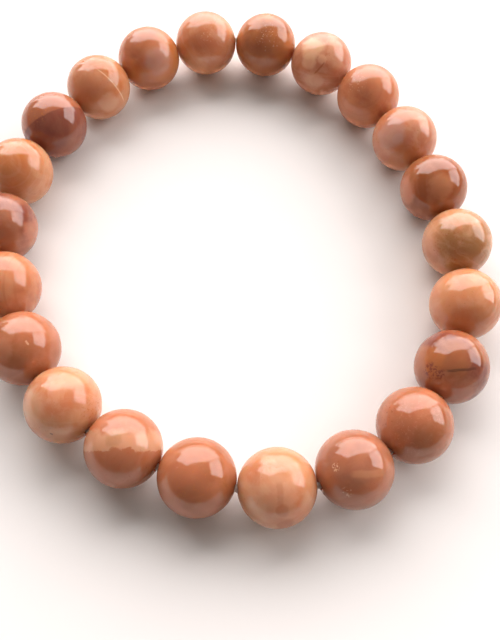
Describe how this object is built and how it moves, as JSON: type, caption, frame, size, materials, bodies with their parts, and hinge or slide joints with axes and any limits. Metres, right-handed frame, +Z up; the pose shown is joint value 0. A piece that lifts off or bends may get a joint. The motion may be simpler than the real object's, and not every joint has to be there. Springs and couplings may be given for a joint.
{
  "type": "beaded stone bracelet",
  "caption": "Stretch bracelet of round polished moonstone beads threaded on an elastic cord, laid flat in a loose oval.",
  "frame": {"origin": "on the surface the bracelet lies on, under the middle of its box", "axes": "+Z up out of the flat ring, along the way a wrist goes through it; -Y the viewer's side"},
  "size_m": [0.0614, 0.0678, 0.008],
  "materials": {
    "pale_peach": "polished",
    "peach_tan": "polished",
    "salmon": "polished",
    "rose": "polished",
    "orange": "polished",
    "terracotta": "polished",
    "cinnamon": "polished",
    "mauve": "polished",
    "plum": "polished",
    "clear_elastic": "satin"
  },
  "bodies": {
    "root": {"bead_01": "pale_peach", "bead_02": "orange", "bead_03": "rose", "bead_04": "salmon", "bead_05": "rose", "bead_06": "cinnamon", "bead_07": "peach_tan", "bead_08": "salmon", "bead_09": "cinnamon", "bead_10": "terracotta", "bead_11": "mauve", "bead_12": "peach_tan", "bead_13": "terracotta", "bead_14": "terracotta", "bead_15": "peach_tan", "bead_16": "cinnamon", "bead_17": "salmon", "bead_18": "mauve", "bead_19": "peach_tan", "bead_20": "plum", "bead_21": "peach_tan", "bead_22": "orange", "elastic_cord": "clear_elastic"}
  },
  "joints": []
}
